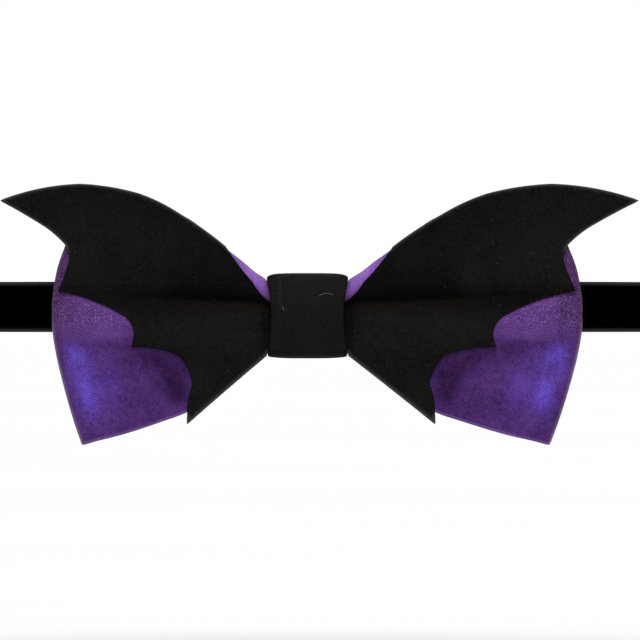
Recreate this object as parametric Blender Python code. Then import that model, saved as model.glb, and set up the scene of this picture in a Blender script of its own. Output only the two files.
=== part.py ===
"""Batwing bow tie on its neck strap, as it is worn.

Metres, +Z up. The bow faces -Y and the strap is a whole neck loop behind it.
The origin is the centre of the neck loop at half the height of the strap.
The tables are in millimetres.
"""

import math
from collections import namedtuple

import bmesh
import bpy
from mathutils import Vector

MM = 0.001

# Neck strap: a flat tape round an oval neck of 41 cm
NECK_HALF_WIDTH = 75.0 * MM
NECK_HALF_DEPTH = 55.0 * MM
STRAP_WIDTH = 10.0 * MM
STRAP_THICKNESS = 1.0 * MM
STRAP_STEPS = 96
STRAP_END_GAP = 1.0 * MM

# Points of each round corner of the knot and the clasp
CORNER_STEPS = 4

# Clasp: a plain sleeve that holds both ends of the strap at the nape
CLASP_HALF_LENGTH = 8.0 * MM
CLASP_HALF_HEIGHT = 6.6 * MM
CLASP_WALL = 1.2 * MM
CLASP_PLAY = 0.3 * MM
CLASP_CORNER = 1.1 * MM

# Satin bow: one band of cloth, folded at both outer ends and pinched in the middle
CLOTH_THICKNESS = 1.0 * MM
LAYER_GAP = 0.3 * MM
BOW_HEIGHT = -1.75 * MM
CORNER_REACH = 48.2 * MM
MIDDLE_REACH = 54.8 * MM
CORNER_HALF_HEIGHT = 26.7 * MM
END_SLOPE = 0.28
END_ROUNDING = 0.9 * MM
FOLD_WIDTH = 1.3 * MM
FOLD_STEPS = 6
LEFT_STRETCH = 0.957
RIGHT_STRETCH = 1.043
SWEEP = 2.5 * MM
SWEEP_REACH = 65.0 * MM

# Batwing: a black cloth wing laid over each half of the bow
WING_THICKNESS = 1.3 * MM
WING_GAP = 0.35 * MM
WING_OVERHANG = 0.2
WING_ROOT = 4.0 * MM
WING_REACH = 67.5 * MM
WING_TIP_STEPS = 5
CUTTER_REACH = 20.0 * MM

# Knot: a band of black cloth round the middle of the bow and the strap
KNOT_WALL = 1.0 * MM
KNOT_GAP = 0.3 * MM
KNOT_CORNER_HALF_WIDTH = 8.2 * MM
KNOT_WAIST_HALF_WIDTH = 7.6 * MM
KNOT_HALF_HEIGHT = 8.8 * MM
KNOT_SIDE_HALF_HEIGHT = 8.05 * MM
KNOT_CORNER = 1.7 * MM
KNOT_INNER_CORNER = 0.4 * MM
KNOT_CROWN = 0.35 * MM
KNOT_STEPS = 8
KNOT_FACE_STEPS = 5
STRAP_SAG_IN_KNOT = 0.7 * MM

# The bow from its middle outwards. reach is the distance from the middle along the bow's
# top and bottom edges, and steps the number of columns to the next row. crest, valley and
# ridge are heights of the folds, as parts of the half height. The _y columns are how far the
# skin stands in front of the bow's middle plane, and back_y how far behind it.
Section = namedtuple("Section", "reach steps half_height crest valley ridge "
                     "top_y crest_y valley_y ridge_y bottom_y back_y")
SECTIONS = (
    Section(0.00, 2, 6.6, 0.72, 0.35, -0.07, 1.4, 1.9, 1.2, 2.8, 1.5, 1.15),
    Section(8.25, 1, 6.6, 0.72, 0.35, -0.07, 1.5, 2.0, 1.2, 2.8, 1.6, 1.20),
    Section(9.20, 2, 8.1, 0.72, 0.34, -0.07, 1.7, 2.1, 1.3, 2.8, 1.8, 1.25),
    Section(12.0, 1, 10.0, 0.72, 0.295, -0.085, 2.6, 3.0, 1.5, 3.5, 2.5, 1.5),
    Section(16.0, 2, 13.0, 0.60, 0.240, -0.104, 3.3, 3.9, 2.0, 4.2, 3.1, 1.9),
    Section(20.7, 2, 16.3, 0.45, 0.200, -0.132, 3.7, 4.5, 2.6, 4.7, 3.5, 2.2),
    Section(25.6, 2, 19.7, 0.33, 0.173, -0.160, 3.8, 4.7, 3.1, 5.0, 3.7, 2.4),
    Section(31.0, 2, 22.0, 0.27, 0.161, -0.198, 3.6, 4.6, 3.3, 5.0, 3.7, 2.4),
    Section(39.2, 3, 24.6, 0.25, 0.165, -0.230, 2.9, 3.8, 3.0, 4.5, 3.1, 2.2),
    Section(46.9, 0, 26.4, 0.26, 0.176, -0.222, 1.5, 2.1, 1.6, 2.9, 1.6, 1.3),
    Section(67.5, 0, 29.6, 0.26, 0.180, -0.220, 0.4, 0.8, 0.6, 1.0, 0.4, 0.4),
)

# Folds across the bow, from its bottom edge up
Fold = namedtuple("Fold", "start end steps")
FOLDS = (
    Fold("bottom", "ridge", 6),
    Fold("ridge", "valley", 4),
    Fold("valley", "crest", 3),
    Fold("crest", "top", 5),
)

# Outline of a batwing, from the root's top corner round by the tip. sag is the height of the
# arc to the next point, positive where it bends to the left of the way round.
Point = namedtuple("Point", "place reach height sag steps")
WING_OUTLINE = (
    Point("root top", 5.2, -0.3, 0.0, 1),
    Point("knot top", 8.2, 1.2, 2.2, 8),
    Point("shoulder", 31.5, 21.0, 1.0, 5),
    Point("hump", 48.7, 25.4, 0.5, 4),
    Point("tip", 65.5, 21.95, -1.0, 5),
    Point("armpit", 51.6, 12.6, -1.0, 4),
    Point("side point", 52.7, 3.3, -0.75, 4),
    Point("upper scallop", 39.4, -1.5, -1.55, 5),
    Point("cusp", 37.55, -8.3, -0.6, 3),
    Point("lower scallop", 27.0, -10.1, -0.5, 3),
    Point("lower side", 24.4, -16.0, 0.25, 3),
    Point("bottom tip", 25.6, -24.2, 0.0, 5),
    Point("knot bottom", 8.6, -10.2, 0.0, 1),
    Point("knot inside", 8.45, -8.0, 0.0, 1),
    Point("root bottom", 5.2, -7.8, 0.0, 1),
)

Finish = namedtuple("Finish", "colour roughness metallic")
SATIN = Finish((0.092, 0.036, 0.184), 0.38, 0.0)
BLACK_CLOTH = Finish((0.0070, 0.0070, 0.0065), 0.90, 0.0)
BLACK_RIBBED_CLOTH = Finish((0.0088, 0.0084, 0.0078), 0.80, 0.0)
BLACK_TAPE = Finish((0.0020, 0.0020, 0.0022), 0.70, 0.0)
BLACK_PLASTIC = Finish((0.0100, 0.0100, 0.0100), 0.45, 0.0)

# Places that follow from the sizes above
KNOT_EDGE = SECTIONS[1].reach * MM
STRAP_FRONT = -(NECK_HALF_DEPTH + STRAP_THICKNESS)
BOW_DEPTH = STRAP_FRONT - LAYER_GAP - SECTIONS[0].back_y * MM
KNOT_INNER_FRONT = BOW_DEPTH - SECTIONS[0].ridge_y * MM - WING_GAP - WING_THICKNESS - KNOT_GAP
KNOT_INNER_BACK = -NECK_HALF_DEPTH + STRAP_SAG_IN_KNOT


def clear_scene():
    for thing in list(bpy.data.objects):
        bpy.data.objects.remove(thing, do_unlink=True)


def make_material(name, finish):
    material = bpy.data.materials.new(name)
    material.use_nodes = True
    shader = material.node_tree.nodes["Principled BSDF"]
    shader.inputs["Base Color"].default_value = (*finish.colour, 1.0)
    shader.inputs["Roughness"].default_value = finish.roughness
    shader.inputs["Metallic"].default_value = finish.metallic
    return material


def add_object(name, verts, faces, material=None):
    """A mesh object with its place in its mesh; faces are lists of indices into verts."""
    mesh = bpy.data.meshes.new(name)
    mesh.from_pydata(verts, [], faces)
    mesh.validate()
    if material is not None:
        mesh.materials.append(material)
    thing = bpy.data.objects.new(name, mesh)
    bpy.context.collection.objects.link(thing)
    return thing


def turn_faces_out(thing):
    shape = bmesh.new()
    shape.from_mesh(thing.data)
    bmesh.ops.recalc_face_normals(shape, faces=shape.faces)
    shape.to_mesh(thing.data)
    shape.free()


def shade_round(thing, angle=40.0):
    thing.data.shade_smooth()
    thing.data.set_sharp_from_angle(angle=math.radians(angle))


def strip_faces(columns, rows, closed):
    """Quads of a grid of points, stored column by column."""
    faces = []
    last = columns if closed else columns - 1
    for column in range(last):
        here = column * rows
        there = (column + 1) % columns * rows
        for row in range(rows - 1):
            faces.append((here + row, there + row, there + row + 1, here + row + 1))
    return faces


def limited_slopes(places, values):
    """Slopes at the table's rows that keep a curve through them free of overshoot."""
    secants = [(b - a) / (q - p)
               for a, b, p, q in zip(values, values[1:], places, places[1:])]
    slopes = [secants[0]]
    for before, after in zip(secants, secants[1:]):
        product = before * after
        slopes.append(2.0 * product / (before + after) if product > 0.0 else 0.0)
    slopes.append(secants[-1])
    return slopes


def make_curve(column):
    """A smooth function of the reach in metres through one column of SECTIONS."""
    places = [section.reach for section in SECTIONS]
    values = [getattr(section, column) for section in SECTIONS]
    slopes = limited_slopes(places, values)

    def curve(reach):
        place = reach / MM
        index = 0
        while index < len(places) - 2 and place > places[index + 1]:
            index += 1
        span = places[index + 1] - places[index]
        part = (place - places[index]) / span
        square = part * part
        cube = square * part
        return (values[index] * (2.0 * cube - 3.0 * square + 1.0)
                + values[index + 1] * (3.0 * square - 2.0 * cube)
                + slopes[index] * span * (cube - 2.0 * square + part)
                + slopes[index + 1] * span * (cube - square))

    return curve


CURVES = {name: make_curve(name) for name in Section._fields[2:]}


def end_reach(part):
    """Reach of the bow's folded end, at a height given as a part of the half height."""
    rise = END_SLOPE * part * CORNER_HALF_HEIGHT
    return MIDDLE_REACH - (math.hypot(END_ROUNDING, rise) - END_ROUNDING)


def stretched(side, across):
    """A distance from the middle, where each half of the bow beyond the knot has its own length.

    side is -1 on the left and 1 on the right.
    """
    stretch = LEFT_STRETCH if side < 0 else RIGHT_STRETCH
    return min(across, KNOT_EDGE) + max(across - KNOT_EDGE, 0.0) * stretch


def bow_point(side, reach, part, forward):
    """A point of the bow at a distance in front of its middle plane."""
    across = stretched(side, reach * end_reach(part) / CORNER_REACH)
    back = SWEEP * (across / SWEEP_REACH) ** 2
    height = BOW_HEIGHT + part * CURVES["half_height"](reach) * MM
    return Vector((side * across, BOW_DEPTH - forward + back, height))


def fold_line(name, reach):
    """Height, as a part of the half height, and depth of a fold line at a reach."""
    edges = {"bottom": -1.0, "top": 1.0}
    part = edges[name] if name in edges else CURVES[name](reach)
    return part, CURVES[name + "_y"](reach) * MM


def front_rows(reach, overhang=0.0):
    """Height and depth of the front skin's rows at a reach, from the bottom edge up."""
    rows = []
    for fold in FOLDS:
        low, low_depth = fold_line(fold.start, reach)
        high, high_depth = fold_line(fold.end, reach)
        for step in range(fold.steps):
            share = step / fold.steps
            ease = 0.5 - 0.5 * math.cos(math.pi * share)
            rows.append((low + (high - low) * share, low_depth + (high_depth - low_depth) * ease))
    rows.append(fold_line("top", reach))
    if overhang:
        rows.insert(0, (rows[0][0] - overhang, rows[0][1]))
        rows.append((rows[-1][0] + overhang, rows[-1][1]))
    return rows


def section_reaches():
    """Reaches of the columns, from the middle to where the end fold starts."""
    reaches = []
    for section, following in zip(SECTIONS, SECTIONS[1:]):
        for step in range(section.steps):
            share = step / section.steps
            reaches.append((section.reach + (following.reach - section.reach) * share) * MM)
    reaches.append(CORNER_REACH - FOLD_WIDTH)
    return reaches


def front_column(side, reach):
    return [bow_point(side, reach, part, forward) for part, forward in front_rows(reach)]


def back_column(side, reach):
    depth = CURVES["back_y"](reach) * MM
    return [bow_point(side, reach, part, -depth) for part, _ in front_rows(reach)]


def fold_columns(side):
    """Columns of the rounded fold at the bow's end, from the front skin to the back skin."""
    start = CORNER_REACH - FOLD_WIDTH
    back = -CURVES["back_y"](start) * MM
    columns = []
    for step in range(1, FOLD_STEPS):
        angle = math.pi * step / FOLD_STEPS
        reach = start + FOLD_WIDTH * math.sin(angle)
        column = []
        for part, front in front_rows(start):
            middle = (front + back) / 2.0
            forward = middle + (front - back) / 2.0 * math.cos(angle)
            column.append(bow_point(side, reach, part, forward))
        columns.append(column)
    return columns


def build_satin_bow():
    """The band runs round from the middle of the front, by the right end and the left end."""
    reaches = section_reaches()
    inward = reaches[::-1]
    columns = [front_column(1, reach) for reach in reaches]
    columns += fold_columns(1)
    columns += [back_column(1, reach) for reach in inward]
    columns += [back_column(-1, reach) for reach in reaches[1:]]
    columns += fold_columns(-1)[::-1]
    columns += [front_column(-1, reach) for reach in inward[:-1]]
    rows = len(columns[0])
    verts = [point for column in columns for point in column]
    faces = strip_faces(len(columns), rows, closed=True)
    bow = add_object("satin_bow", verts, faces, make_material("satin", SATIN))
    shade_round(bow)
    wall = bow.modifiers.new("cloth_wall", "SOLIDIFY")
    wall.thickness = CLOTH_THICKNESS
    wall.offset = -1.0
    wall.use_even_offset = True
    return bow


def wing_sheet(side, name, material):
    """A thick sheet in front of one half of the bow, larger than the wing cut from it."""
    inner = [reach for reach in section_reaches() if reach > WING_ROOT]
    first = inner[-1]
    outer = [first + (WING_REACH - first) * step / WING_TIP_STEPS
             for step in range(1, WING_TIP_STEPS + 1)]
    columns = []
    for reach in [WING_ROOT] + inner + outer:
        columns.append([bow_point(side, reach, part, forward + WING_GAP)
                        for part, forward in front_rows(reach, WING_OVERHANG)])
    rows = len(columns[0])
    back = [point for column in columns for point in column]
    front = [point - Vector((0.0, WING_THICKNESS, 0.0)) for point in back]
    grid = strip_faces(len(columns), rows, closed=False)
    count = len(back)
    faces = grid + [tuple(index + count for index in reversed(face)) for face in grid]
    last = count - rows
    rim = list(range(rows))
    rim += [column * rows + rows - 1 for column in range(1, len(columns))]
    rim += [last + row for row in range(rows - 2, -1, -1)]
    rim += [column * rows for column in range(len(columns) - 2, 0, -1)]
    for here, there in zip(rim, rim[1:] + rim[:1]):
        faces.append((here, there, there + count, here + count))
    sheet = add_object(name, back + front, faces, material)
    turn_faces_out(sheet)
    return sheet


def arc_points(start, end, sag, steps):
    """Points from start to just before end along an arc that rises by sag to the left."""
    chord = end - start
    if abs(sag) < 1e-9:
        return [start + chord * (step / steps) for step in range(steps)]
    half = chord.length / 2.0
    radius = (half * half + sag * sag) / (2.0 * sag)
    left = Vector((-chord.y, chord.x)).normalized()
    middle = start + chord / 2.0
    centre = middle + left * (sag - radius)
    first = start - centre
    turn = 2.0 * math.asin(max(-1.0, min(1.0, half / radius)))
    points = []
    for step in range(steps):
        angle = -turn * step / steps
        cosine, sine = math.cos(angle), math.sin(angle)
        points.append(centre + Vector((first.x * cosine - first.y * sine,
                                       first.x * sine + first.y * cosine)))
    return points


def wing_outline(side):
    """The wing's outline as (x, z), with each side stretched as its half of the bow is."""
    outline = []
    for point, following in zip(WING_OUTLINE, WING_OUTLINE[1:] + WING_OUTLINE[:1]):
        start = Vector((point.reach, point.height)) * MM
        end = Vector((following.reach, following.height)) * MM
        outline += arc_points(start, end, point.sag * MM, point.steps)
    return [(side * stretched(side, point.x), point.y) for point in outline]


def build_batwing(side, name, material):
    sheet = wing_sheet(side, name, material)
    outline = wing_outline(side)
    near = BOW_DEPTH - CUTTER_REACH
    far = BOW_DEPTH + CUTTER_REACH
    count = len(outline)
    verts = [(x, near, z) for x, z in outline] + [(x, far, z) for x, z in outline]
    faces = [tuple(range(count)), tuple(range(2 * count - 1, count - 1, -1))]
    for index in range(count):
        following = (index + 1) % count
        faces.append((index, index + count, following + count, following))
    cutter = add_object(name + "_outline", verts, faces)
    turn_faces_out(cutter)
    cutter.hide_render = True
    cutter.display_type = "WIRE"
    cut = sheet.modifiers.new("outline", "BOOLEAN")
    cut.operation = "INTERSECT"
    cut.solver = "EXACT"
    cut.object = cutter
    return sheet


def rounded_profile(front, back, half_height, corner, face_steps):
    """Points (y, z) round a rectangle with round corners, with extra points on both faces."""
    corners = (
        (front + corner, half_height - corner, math.pi),
        (back - corner, half_height - corner, math.pi / 2.0),
        (back - corner, -half_height + corner, 0.0),
        (front + corner, -half_height + corner, -math.pi / 2.0),
    )
    points = []
    for index, (y, z, start) in enumerate(corners):
        for step in range(CORNER_STEPS + 1):
            angle = start - math.pi / 2.0 * step / CORNER_STEPS
            points.append((y + corner * math.cos(angle), z + corner * math.sin(angle)))
        if index % 2:
            wall, edge = points[-1]
            for step in range(1, face_steps):
                points.append((wall, edge * (1.0 - 2.0 * step / face_steps)))
    return points


def build_sleeve(name, material, shares, outer_at, inner_at, place):
    """A tube along X with a wall, lofted through outer and inner profiles at each share."""
    outer = [[place(share, y, z) for y, z in outer_at(share)] for share in shares]
    inner = [[place(share, y, z) for y, z in inner_at(share)] for share in shares]
    size = len(outer[0])
    columns = len(shares)
    verts = [point for ring in outer + inner for point in ring]
    offset = columns * size
    faces = []
    for column in range(columns - 1):
        for spot in range(size):
            here = column * size + spot
            beside = column * size + (spot + 1) % size
            faces.append((here, beside, beside + size, here + size))
            faces.append((here + offset, here + size + offset,
                          beside + size + offset, beside + offset))
    for column in (0, columns - 1):
        for spot in range(size):
            here = column * size + spot
            beside = column * size + (spot + 1) % size
            faces.append((here, here + offset, beside + offset, beside))
    sleeve = add_object(name, verts, faces, material)
    turn_faces_out(sleeve)
    shade_round(sleeve)
    return sleeve


def build_knot():
    back = KNOT_INNER_BACK + KNOT_WALL

    def half_height(share):
        return KNOT_HALF_HEIGHT + (KNOT_SIDE_HALF_HEIGHT - KNOT_HALF_HEIGHT) * share * share

    def outer_at(share):
        front = KNOT_INNER_FRONT - KNOT_WALL - KNOT_CROWN * (1.0 - share * share)
        return rounded_profile(front, back, half_height(share), KNOT_CORNER, KNOT_FACE_STEPS)

    def inner_at(share):
        return rounded_profile(KNOT_INNER_FRONT, KNOT_INNER_BACK, half_height(share) - KNOT_WALL,
                               KNOT_INNER_CORNER, KNOT_FACE_STEPS)

    def place(share, y, z):
        spread = KNOT_CORNER_HALF_WIDTH - KNOT_WAIST_HALF_WIDTH
        half_width = KNOT_WAIST_HALF_WIDTH + spread * (z / KNOT_SIDE_HALF_HEIGHT) ** 2
        return (share * half_width, y, BOW_HEIGHT + z)

    shares = [2.0 * step / KNOT_STEPS - 1.0 for step in range(KNOT_STEPS + 1)]
    material = make_material("black_ribbed_cloth", BLACK_RIBBED_CLOTH)
    return build_sleeve("knot_band", material, shares, outer_at, inner_at, place)


def build_neck_strap():
    """A flat tape round the neck, open at the nape, where both ends lie in the clasp."""
    open_angle = STRAP_END_GAP / 2.0 / NECK_HALF_WIDTH
    half = STRAP_WIDTH / 2.0
    verts = []
    for step in range(STRAP_STEPS + 1):
        angle = (math.pi - open_angle) * (2.0 * step / STRAP_STEPS - 1.0)
        inner = Vector((NECK_HALF_WIDTH * math.sin(angle), -NECK_HALF_DEPTH * math.cos(angle)))
        outward = Vector((inner.x / NECK_HALF_WIDTH ** 2, inner.y / NECK_HALF_DEPTH ** 2))
        outer = inner + outward.normalized() * STRAP_THICKNESS
        verts += [(inner.x, inner.y, -half), (outer.x, outer.y, -half),
                  (outer.x, outer.y, half), (inner.x, inner.y, half)]
    faces = [(0, 1, 2, 3), tuple(4 * STRAP_STEPS + corner for corner in (3, 2, 1, 0))]
    for step in range(STRAP_STEPS):
        for corner in range(4):
            here = 4 * step + corner
            beside = 4 * step + (corner + 1) % 4
            faces.append((here, here + 4, beside + 4, beside))
    strap = add_object("neck_strap", verts, faces, make_material("black_tape", BLACK_TAPE))
    turn_faces_out(strap)
    shade_round(strap)
    return strap


def build_clasp():
    """A sleeve across the nape, its slot wide enough for the curve of the strap."""
    nape = NECK_HALF_DEPTH * math.sqrt(1.0 - (CLASP_HALF_LENGTH / NECK_HALF_WIDTH) ** 2)
    slot_inner = nape - CLASP_PLAY
    slot_outer = NECK_HALF_DEPTH + STRAP_THICKNESS + CLASP_PLAY
    slot_half_height = STRAP_WIDTH / 2.0 + CLASP_PLAY

    def outer_at(share):
        return rounded_profile(slot_inner - CLASP_WALL, slot_outer + CLASP_WALL,
                               CLASP_HALF_HEIGHT, CLASP_CORNER, 1)

    def inner_at(share):
        return rounded_profile(slot_inner, slot_outer, slot_half_height, CLASP_PLAY, 1)

    def place(share, y, z):
        return (share * CLASP_HALF_LENGTH, y, z)

    material = make_material("black_plastic", BLACK_PLASTIC)
    return build_sleeve("clasp", material, [-1.0, 1.0], outer_at, inner_at, place)


def main():
    clear_scene()
    build_satin_bow()
    black_cloth = make_material("black_cloth", BLACK_CLOTH)
    build_batwing(-1, "batwing_left", black_cloth)
    build_batwing(1, "batwing_right", black_cloth)
    build_knot()
    build_neck_strap()
    build_clasp()


main()
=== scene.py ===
"""Batwing bow tie: cloth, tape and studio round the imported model.

Laid out as an add-on and run as a script. Lengths are in metres, the tables in millimetres.
The bow faces -Y, and the origin is the centre of the neck loop.
"""

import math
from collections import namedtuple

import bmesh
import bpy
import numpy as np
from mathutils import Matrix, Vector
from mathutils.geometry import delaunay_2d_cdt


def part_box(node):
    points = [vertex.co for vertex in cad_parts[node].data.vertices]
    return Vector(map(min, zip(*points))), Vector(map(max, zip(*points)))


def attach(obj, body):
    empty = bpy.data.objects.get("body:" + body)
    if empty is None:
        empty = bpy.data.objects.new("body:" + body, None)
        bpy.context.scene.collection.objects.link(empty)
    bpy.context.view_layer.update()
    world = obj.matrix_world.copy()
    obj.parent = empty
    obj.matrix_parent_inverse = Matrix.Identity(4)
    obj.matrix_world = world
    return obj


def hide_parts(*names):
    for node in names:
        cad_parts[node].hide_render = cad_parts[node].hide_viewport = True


bl_info = {
    "name": "Batwing bow tie",
    "version": (1, 0, 0),
    "blender": (4, 5, 0),
    "location": "3D View > Sidebar > Bow tie",
    "description": "Makes a satin bow tie with cloth bat wings, its knot and its neck strap",
    "category": "Object",
}

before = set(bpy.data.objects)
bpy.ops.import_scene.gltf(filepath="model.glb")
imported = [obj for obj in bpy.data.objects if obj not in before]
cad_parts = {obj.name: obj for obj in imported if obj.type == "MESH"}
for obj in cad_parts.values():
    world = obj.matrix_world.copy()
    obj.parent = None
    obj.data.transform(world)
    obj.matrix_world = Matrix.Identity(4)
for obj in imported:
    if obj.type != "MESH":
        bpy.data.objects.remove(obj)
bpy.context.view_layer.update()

MM = 0.001
BODY = "root"

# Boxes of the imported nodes, which give the sizes below
BOW_LOW, BOW_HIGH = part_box("satin_bow")
KNOT_LOW, KNOT_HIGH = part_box("knot_band")
STRAP_LOW, STRAP_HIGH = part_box("neck_strap")
CLASP_LOW, CLASP_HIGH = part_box("clasp")

# Satin bow
BOW_HEIGHT = (BOW_LOW.z + BOW_HIGH.z) / 2.0
CORNER_HALF_HEIGHT = (BOW_HIGH.z - BOW_LOW.z) / 2.0
MIDDLE_REACH = (BOW_HIGH.x - BOW_LOW.x) / 2.0
CORNER_REACH = MIDDLE_REACH - 6.6 * MM
END_SLOPE = 0.27
END_ROUNDING = 0.9 * MM
END_SHIFTS = (
    (-26.0, -0.14), (-23.0, -0.08), (-14.0, -0.06), (-9.0, 0.0), (1.8, 0.0), (4.3, 0.06),
    (6.8, 0.11), (9.0, 0.11), (10.3, 0.05), (11.5, -0.08), (12.8, -0.26), (14.0, -0.47))
END_BULGE = 0.69 * MM
FOLD_WIDTH = 1.3 * MM
KNOT_EDGE = 8.25 * MM
LEFT_STRETCH = (-BOW_LOW.x - KNOT_EDGE) / (MIDDLE_REACH - KNOT_EDGE)
RIGHT_STRETCH = (BOW_HIGH.x - KNOT_EDGE) / (MIDDLE_REACH - KNOT_EDGE)
SWEEP = 2.5 * MM
SWEEP_REACH = 65.0 * MM
LAYER_GAP = 0.3 * MM
PINCH_BACK = 1.15 * MM
BOW_DEPTH = STRAP_LOW.y - LAYER_GAP - PINCH_BACK

# Batwings
WING_GAP = 0.2 * MM
WING_SPREAD = 0.12 * MM

# Neck strap, an oval open at the nape
STRAP_WIDTH = round(STRAP_HIGH.z - STRAP_LOW.z, 6)
STRAP_END_GAP = 1.0 * MM
EDGE_CURL = 0.24 * MM

# The bow from its middle outwards. crest, valley, ridge and hollow are heights of the folds,
# as parts of the half height. The _y columns are how far the skin stands in front of the
# bow's middle plane, and back_y how far behind it.
Section = namedtuple("Section", "reach half_height crest valley ridge hollow "
                     "top_y crest_y valley_y ridge_y hollow_y bottom_y back_y")
SECTIONS = (
    Section(0.00, 6.6, 0.72, 0.35, -0.07, -0.50, 2.2, 3.0, 4.4, 4.5, 3.3, 2.2, 1.15),
    Section(5.20, 6.6, 0.72, 0.35, -0.07, -0.50, 1.5, 2.0, 1.2, 2.8, 1.7, 1.6, 1.18),
    Section(7.90, 6.6, 0.72, 0.35, -0.07, -0.50, 1.5, 2.0, 1.2, 2.8, 1.7, 1.6, 1.20),
    Section(8.60, 7.4, 0.72, 0.34, -0.07, -0.50, 1.7, 2.1, 1.2, 2.8, 1.8, 1.8, 1.25),
    Section(11.0, 8.95, 0.72, 0.309, -0.080, -0.50, 2.35, 2.75, 1.27, 3.3, 2.15, 2.3, 1.42),
    Section(14.0, 11.4, 0.66, 0.268, -0.094, -0.50, 2.95, 3.45, 1.5, 3.85, 2.55, 2.8, 1.7),
    Section(16.0, 12.85, 0.60, 0.240, -0.104, -0.50, 3.3, 3.9, 1.7, 4.2, 2.8, 3.1, 1.9),
    Section(20.7, 16.55, 0.45, 0.200, -0.132, -0.50, 3.7, 4.6, 2.2, 4.8, 3.2, 3.4, 2.2),
    Section(25.6, 20.05, 0.36, 0.173, -0.160, -0.50, 3.8, 4.8, 2.7, 5.2, 3.4, 3.5, 2.4),
    Section(31.0, 22.0, 0.32, 0.161, -0.198, -0.52, 3.6, 4.7, 2.9, 5.4, 3.7, 3.4, 2.4),
    Section(39.2, 24.6, 0.30, 0.165, -0.230, -0.55, 2.9, 3.9, 2.7, 5.0, 3.7, 2.9, 2.2),
    Section(46.9, 26.57, 0.29, 0.176, -0.222, -0.55, 1.5, 2.2, 1.5, 3.2, 2.6, 1.5, 1.3),
    Section(67.5, 34.0, 0.29, 0.180, -0.220, -0.55, 0.4, 0.8, 0.6, 1.0, 0.6, 0.4, 0.4),
)

# Stretches across the front, from the bottom edge up: rows, and how the depth eases over them
Stretch = namedtuple("Stretch", "start end rows ease")
STRETCHES = (
    Stretch("bottom", "hollow", 12, "soft"),
    Stretch("hollow", "ridge", 13, "firm"),
    Stretch("ridge", "valley", 16, "into_crease"),
    Stretch("valley", "crest", 10, "out_of_crease"),
    Stretch("crest", "top", 16, "soft"),
)
EASES = {
    "soft": lambda share: 0.5 - 0.5 * np.cos(np.pi * share),
    "firm": lambda share: 0.5 * share + 0.25 - 0.25 * np.cos(np.pi * share),
    "into_crease": lambda share: 0.6 * (1.0 - np.cos(np.pi * share / 2.0)) + 0.4 * share,
    "out_of_crease": lambda share: np.sin(np.pi * share / 2.0),
}

# Outline of a batwing, from the root's top corner round by the tip. sag is the height of the
# arc to the next point, positive where it bends to the left of the way round.
Point = namedtuple("Point", "place reach height sag")
WING_OUTLINE = (
    Point("root top", 5.2, -0.3, 0.0),
    Point("knot top", 8.2, 1.1, -0.25),
    Point("rise", 11.6, 5.12, -0.03),
    Point("lift", 13.0, 6.64, -0.12),
    Point("slope", 17.3, 12.36, 0.24),
    Point("bend", 27.0, 19.01, 0.3),
    Point("shoulder", 35.9, 23.28, 0.36),
    Point("hump", 48.5, 25.3, 0.75),
    Point("tip", 65.9, 21.95, -0.09),
    Point("under the tip", 57.45, 17.3, -0.29),
    Point("armpit", 51.75, 12.75, -0.1),
    Point("under the arm", 50.85, 10.0, -0.19),
    Point("side point", 53.35, 3.3, -0.7),
    Point("upper scallop", 39.4, -1.5, -0.55),
    Point("in the scallop", 36.93, -5.2, -0.14),
    Point("cusp", 37.55, -8.3, -0.6),
    Point("lower scallop", 27.0, -10.1, -0.5),
    Point("lower side", 24.35, -16.0, 0.2),
    Point("above the tip", 25.42, -20.6, 0.0),
    Point("bottom tip", 25.57, -24.15, -0.07),
    Point("knot bottom", 8.5, -10.06, 0.0),
    Point("knot corner", 8.46, -9.72, 0.0),
    Point("knot inside", 8.2, -9.38, 0.0),
    Point("under the knot", 7.8, -9.22, 0.0),
    Point("root bottom", 5.2, -9.1, 0.0),
)


# Settings that a user would change

def length_prop(name, description, default):
    return bpy.props.FloatProperty(
        name=name, description=description, default=default, unit="LENGTH")


def colour_prop(name, description, default):
    return bpy.props.FloatVectorProperty(
        name=name, description=description, default=default, subtype="COLOR", min=0.0, max=1.0)


class SatinSettings(bpy.types.PropertyGroup):
    thickness: length_prop(
        "Thickness", "Thickness of the folded satin", 0.7 * MM)
    colour: colour_prop(
        "Colour", "Colour of the twill lines", (0.067, 0.0250, 0.124))
    shade: colour_prop(
        "Shade", "Colour between the twill lines", (0.026, 0.0070, 0.045))
    # Painted light: the satin above the ridge, which tilts up to the light, gets its own redder tone
    lit_lap_colour: colour_prop(
        "Lap colour", "Colour of the satin that tilts up, above its ridge", (0.050, 0.0170, 0.074))
    strip_colour: colour_prop(
        "Strip colour", "Colour of the strip along the folded ends", (0.032, 0.0110, 0.035))
    # Painted highlight: the colour of the satin where it shines
    glow_colour: colour_prop(
        "Glow colour", "Colour where the satin catches the light", (0.087, 0.049, 0.372))
    # Painted highlights: glints on the threads and a thin light line along the hems
    highlight_colour: colour_prop(
        "Pale colour", "Colour of the bright threads and of the hems", (0.300, 0.180, 0.420))
    # Painted highlight where the satin beside the knot and along the ridge turns up to the light
    catchlight_colour: colour_prop(
        "Catch colour", "Colour of the satin that faces up beside the knot", (0.200, 0.095, 0.360))
    # Painted shade where the satin sinks away from the light
    painted_shade_colour: colour_prop(
        "Hollow colour", "Colour of the satin that sinks away from the light", (0.0110, 0.0032, 0.0095))
    # A lighter line of threads right at the folded ends
    rim_colour: colour_prop(
        "Rim colour", "Colour of the worn threads on the folded ends", (0.330, 0.205, 0.330))
    gloss_tint: colour_prop(
        "Gloss tint", "Colour of the satin's gloss", (0.28, 0.14, 1.0))
    twill_pitch: length_prop(
        "Twill pitch", "Distance between the diagonal lines of the weave", 0.44 * MM)
    twill_angle: bpy.props.FloatProperty(
        name="Twill angle", description="Slope of the diagonal lines",
        default=math.radians(45.0), subtype="ANGLE")


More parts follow.
